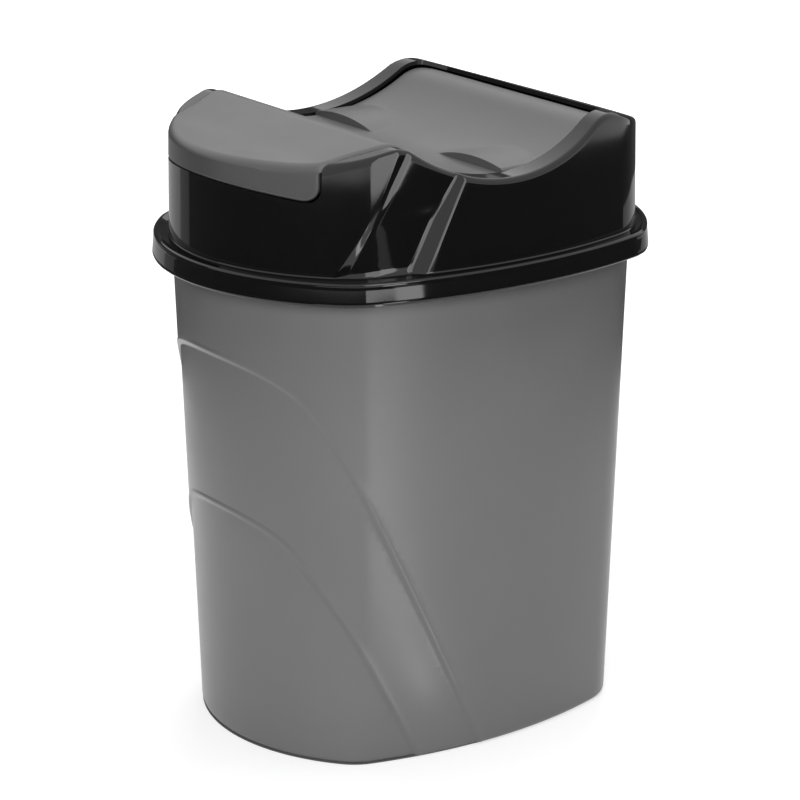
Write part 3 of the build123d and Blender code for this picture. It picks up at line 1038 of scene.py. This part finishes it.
# %% Helpers for things that aren't part of the bin
def show_to(obj, camera=True, diffuse=True, glossy=True, shadow=True):
    obj.visible_camera, obj.visible_diffuse, obj.visible_glossy = camera, diffuse, glossy
    obj.visible_transmission, obj.visible_shadow = glossy, shadow


def stage_piece(bm, name, mat):
    obj = object_from(bm, name)
    obj.data.materials.append(mat)
    return obj


def matt(name, shade):
    mat, nodes, links = new_material(name)
    shader = nodes["Principled BSDF"].inputs
    shader["Base Color"].default_value = (shade, shade, shade, 1)
    shader["Roughness"].default_value, shader["Specular IOR Level"].default_value = 1.0, 0.0
    return mat


def glow(name, strength):
    mat, nodes, links = new_material(name)
    nodes.remove(nodes["Principled BSDF"])
    light = nodes.new("ShaderNodeEmission")
    light.inputs["Strength"].default_value = strength
    links.new(light.outputs["Emission"], nodes["Material Output"].inputs["Surface"])
    return mat


def joined(nodes, links, operation, first, second):
    made = nodes.new("ShaderNodeMath")
    made.operation = operation
    links.new(first, made.inputs[0])
    links.new(second, made.inputs[1])
    return made.outputs[0]


def seen_directly(nodes, links):
    """1 for rays from the camera and for mirror and glass rays, and 0 for light on matt surfaces."""
    path = nodes.new("ShaderNodeLightPath").outputs
    result = joined(nodes, links, "MAXIMUM", path["Is Camera Ray"], path["Is Glossy Ray"])
    return joined(nodes, links, "MAXIMUM", result, path["Is Transmission Ray"])


# %% Floor, which glows more with distance so that the background stays white
FLOOR_SHADE, FLOOR_R, NEAR_AND_FAR, GLOW_NEAR_AND_FAR = 0.42, 4.0, (0.4, 1.5), (0.6, 0.9)
pale = matt("pale_floor", FLOOR_SHADE)
nodes, links = pale.node_tree.nodes, pale.node_tree.links
cloth = nodes["Principled BSDF"].inputs
cloth["Emission Color"].default_value = (1, 1, 1, 1)
far = nodes.new("ShaderNodeVectorMath")
far.operation = "LENGTH"
links.new(nodes.new("ShaderNodeTexCoord").outputs["Object"], far.inputs[0])
paler = remap(nodes, links, far.outputs["Value"], NEAR_AND_FAR, GLOW_NEAR_AND_FAR)
links.new(joined(nodes, links, "MULTIPLY", paler, seen_directly(nodes, links)), cloth["Emission Strength"])
bm = bmesh.new()
bmesh.ops.create_circle(bm, cap_ends=True, segments=96, radius=FLOOR_R)
print(stage_piece(bm, "floor", pale).name, "radius", FLOOR_R, "m")

# %% World: faint light on matt surfaces, white where the camera or a mirror looks
AIR_LIT, AIR_SEEN = 0.06, 1.0
world = bpy.data.worlds.new("studio_air")
bpy.context.scene.world = world
world.use_nodes = True
nodes, links = world.node_tree.nodes, world.node_tree.links
air = nodes["Background"]
air.inputs["Color"].default_value = (1, 1, 1, 1)
strength = remap(nodes, links, seen_directly(nodes, links), (0, 1), (AIR_LIT, AIR_SEEN))
links.new(strength, air.inputs["Strength"])
print("world", world.name, "lights matt surfaces with", AIR_LIT)

# %% [markdown]
# ### Lamps and reflections
# The lamps are large and soft, and stay out of the gloss. What the gloss does show is a tall strip light
# to the right of the front corner, with a wider window beside it and low strips on the table, and a few
# faint ones to the left and behind.

# %% Lamps
def area_lamp(name, place, target, size, power):
    data = bpy.data.lights.new(name, "AREA")
    data.shape, data.size, data.size_y, data.energy = "RECTANGLE", size[0], size[1], power
    lamp = bpy.data.objects.new(name, data)
    bpy.context.scene.collection.objects.link(lamp)
    lamp.location = place
    lamp.rotation_euler = (Vector(target) - Vector(place)).to_track_quat("-Z", "Y").to_euler()
    show_to(lamp, camera=False, glossy=False)
    print(name, power, "W")


area_lamp("top_softbox", (0.0, 0.1, 1.8), (0, 0, 0.2), (1.6, 1.6), 40)
area_lamp("front_softbox", (1.35, -1.15, 1.0), (0, 0, 0.15), (0.8, 0.8), 23)
area_lamp("rear_softbox", (-1.35, 1.15, 1.0), (0, 0, 0.15), (0.8, 0.8), 15)

# %% A board bent round the bin
BOARD_STEP = 3


def board(name, mat, from_turn, to_turn, low, high, foot_r, head_r):
    """A board between two turns, in degrees from the front to the right, and two heights in metres."""
    bm = bmesh.new()
    start, turned = math.radians(from_turn), to_turn - from_turn
    foot = bm.verts.new((math.sin(start), -math.cos(start), low))
    bmesh.ops.spin(bm, geom=[foot], cent=(0, 0, 0), axis=(0, 0, 1), angle=math.radians(turned),
                   steps=max(2, round(turned / BOARD_STEP)), use_merge=turned == 360)
    feet = bm.verts[:]
    heads = of_kind(bmesh.ops.extrude_edge_only(bm, edges=bm.edges[:])["geom"], bmesh.types.BMVert)
    bmesh.ops.scale(bm, verts=feet, vec=(foot_r, foot_r, 1))
    bmesh.ops.scale(bm, verts=heads, vec=(head_r, head_r, 1))
    bmesh.ops.translate(bm, verts=heads, vec=(0, 0, high - low))
    show_to(stage_piece(bm, name, mat), camera=False, diffuse=False, shadow=False)
    print(name, "turns", from_turn, "to", to_turn, "heights", low, "to", high)


# %% Dark boards
BOARD_SHADE, BOARD_R, BOARD_TOP, BACK_TOP = 0.09, 0.6, 0.21, 0.47
dark = matt("dark_board", BOARD_SHADE)
board("boards", dark, 0, 360, 0.0, BOARD_TOP, BOARD_R, BOARD_R)
board("back_board", dark, 185, 330, BOARD_TOP, BACK_TOP, BOARD_R, BOARD_R)

# %% Lights that show in the gloss
LIGHT_R, TABLE_R, ON_TABLE, TABLE_TURN, TABLE_DROP = 0.59, 0.15, 0.005, 7, 0.003
# Name, strength, from turn, to turn, lower and upper height
LIGHTS = (
    ("strip_light", 4.5, 88.2, 94.8, 0.168, 1.3),
    ("strip_foot", 0.5, 88.2, 94.8, 0.05, 0.168),
    ("strip_low", 5.5, 86.0, 92.5, ON_TABLE, 0.05),
    ("window", 3.6, 69.0, 88.2, 0.197, 0.9),
    ("low_light", 1.2, 25.0, 87.0, ON_TABLE, 0.05),
    ("left_far", 0.5, -110.0, -80.0, 0.1, 0.21),
    ("left_middle", 0.5, -80.0, -70.0, 0.1, 0.21),
    ("left_near", 0.25, -70.0, -58.0, 0.1, 0.21),
    ("right_light", 0.45, 165.0, 220.0, 0.1, 0.16),
)
for name, strength, from_turn, to_turn, low, high in LIGHTS:
    light = glow(name + "_glow", strength)
    board(name, light, from_turn, to_turn, low, high, LIGHT_R, LIGHT_R)
    if low == ON_TABLE:
        # A light that stands on the table also lies on it, in towards the bin
        board(name + "_on_table", light, from_turn - TABLE_TURN, to_turn - TABLE_TURN, low - TABLE_DROP, low,
              TABLE_R, LIGHT_R)

# %% [markdown]
# ## Camera
# The photograph looks down by 18 degrees, from the front right corner, through a long lens.

# %% Camera
AZIMUTH, ELEVATION, DISTANCE, LENS = math.radians(54.82), math.radians(17.79), 1.592, 135.0
AIM_Z, AIM_LEFT = 0.16393, 0.0008
level = math.cos(ELEVATION)
back = Vector((math.sin(AZIMUTH) * level, -math.cos(AZIMUTH) * level, math.sin(ELEVATION)))
right = Vector((math.cos(AZIMUTH), math.sin(AZIMUTH), 0))
aim = Vector((0, 0, AIM_Z)) - right * AIM_LEFT
lens = bpy.data.cameras.new("camera")
lens.lens, lens.sensor_width = LENS, 36.0
camera = bpy.data.objects.new("camera", lens)
bpy.context.scene.collection.objects.link(camera)
camera.location = aim + back * DISTANCE
camera.rotation_euler = (-back).to_track_quat("-Z", "Y").to_euler()
bpy.context.scene.camera = camera
bpy.context.scene.view_settings.view_transform = "Standard"
print("camera at", [round(c, 3) for c in camera.location])

# %% [markdown]
# ## Finish
# The scene is brought up to date.

# %% Finish
bpy.context.view_layer.update()
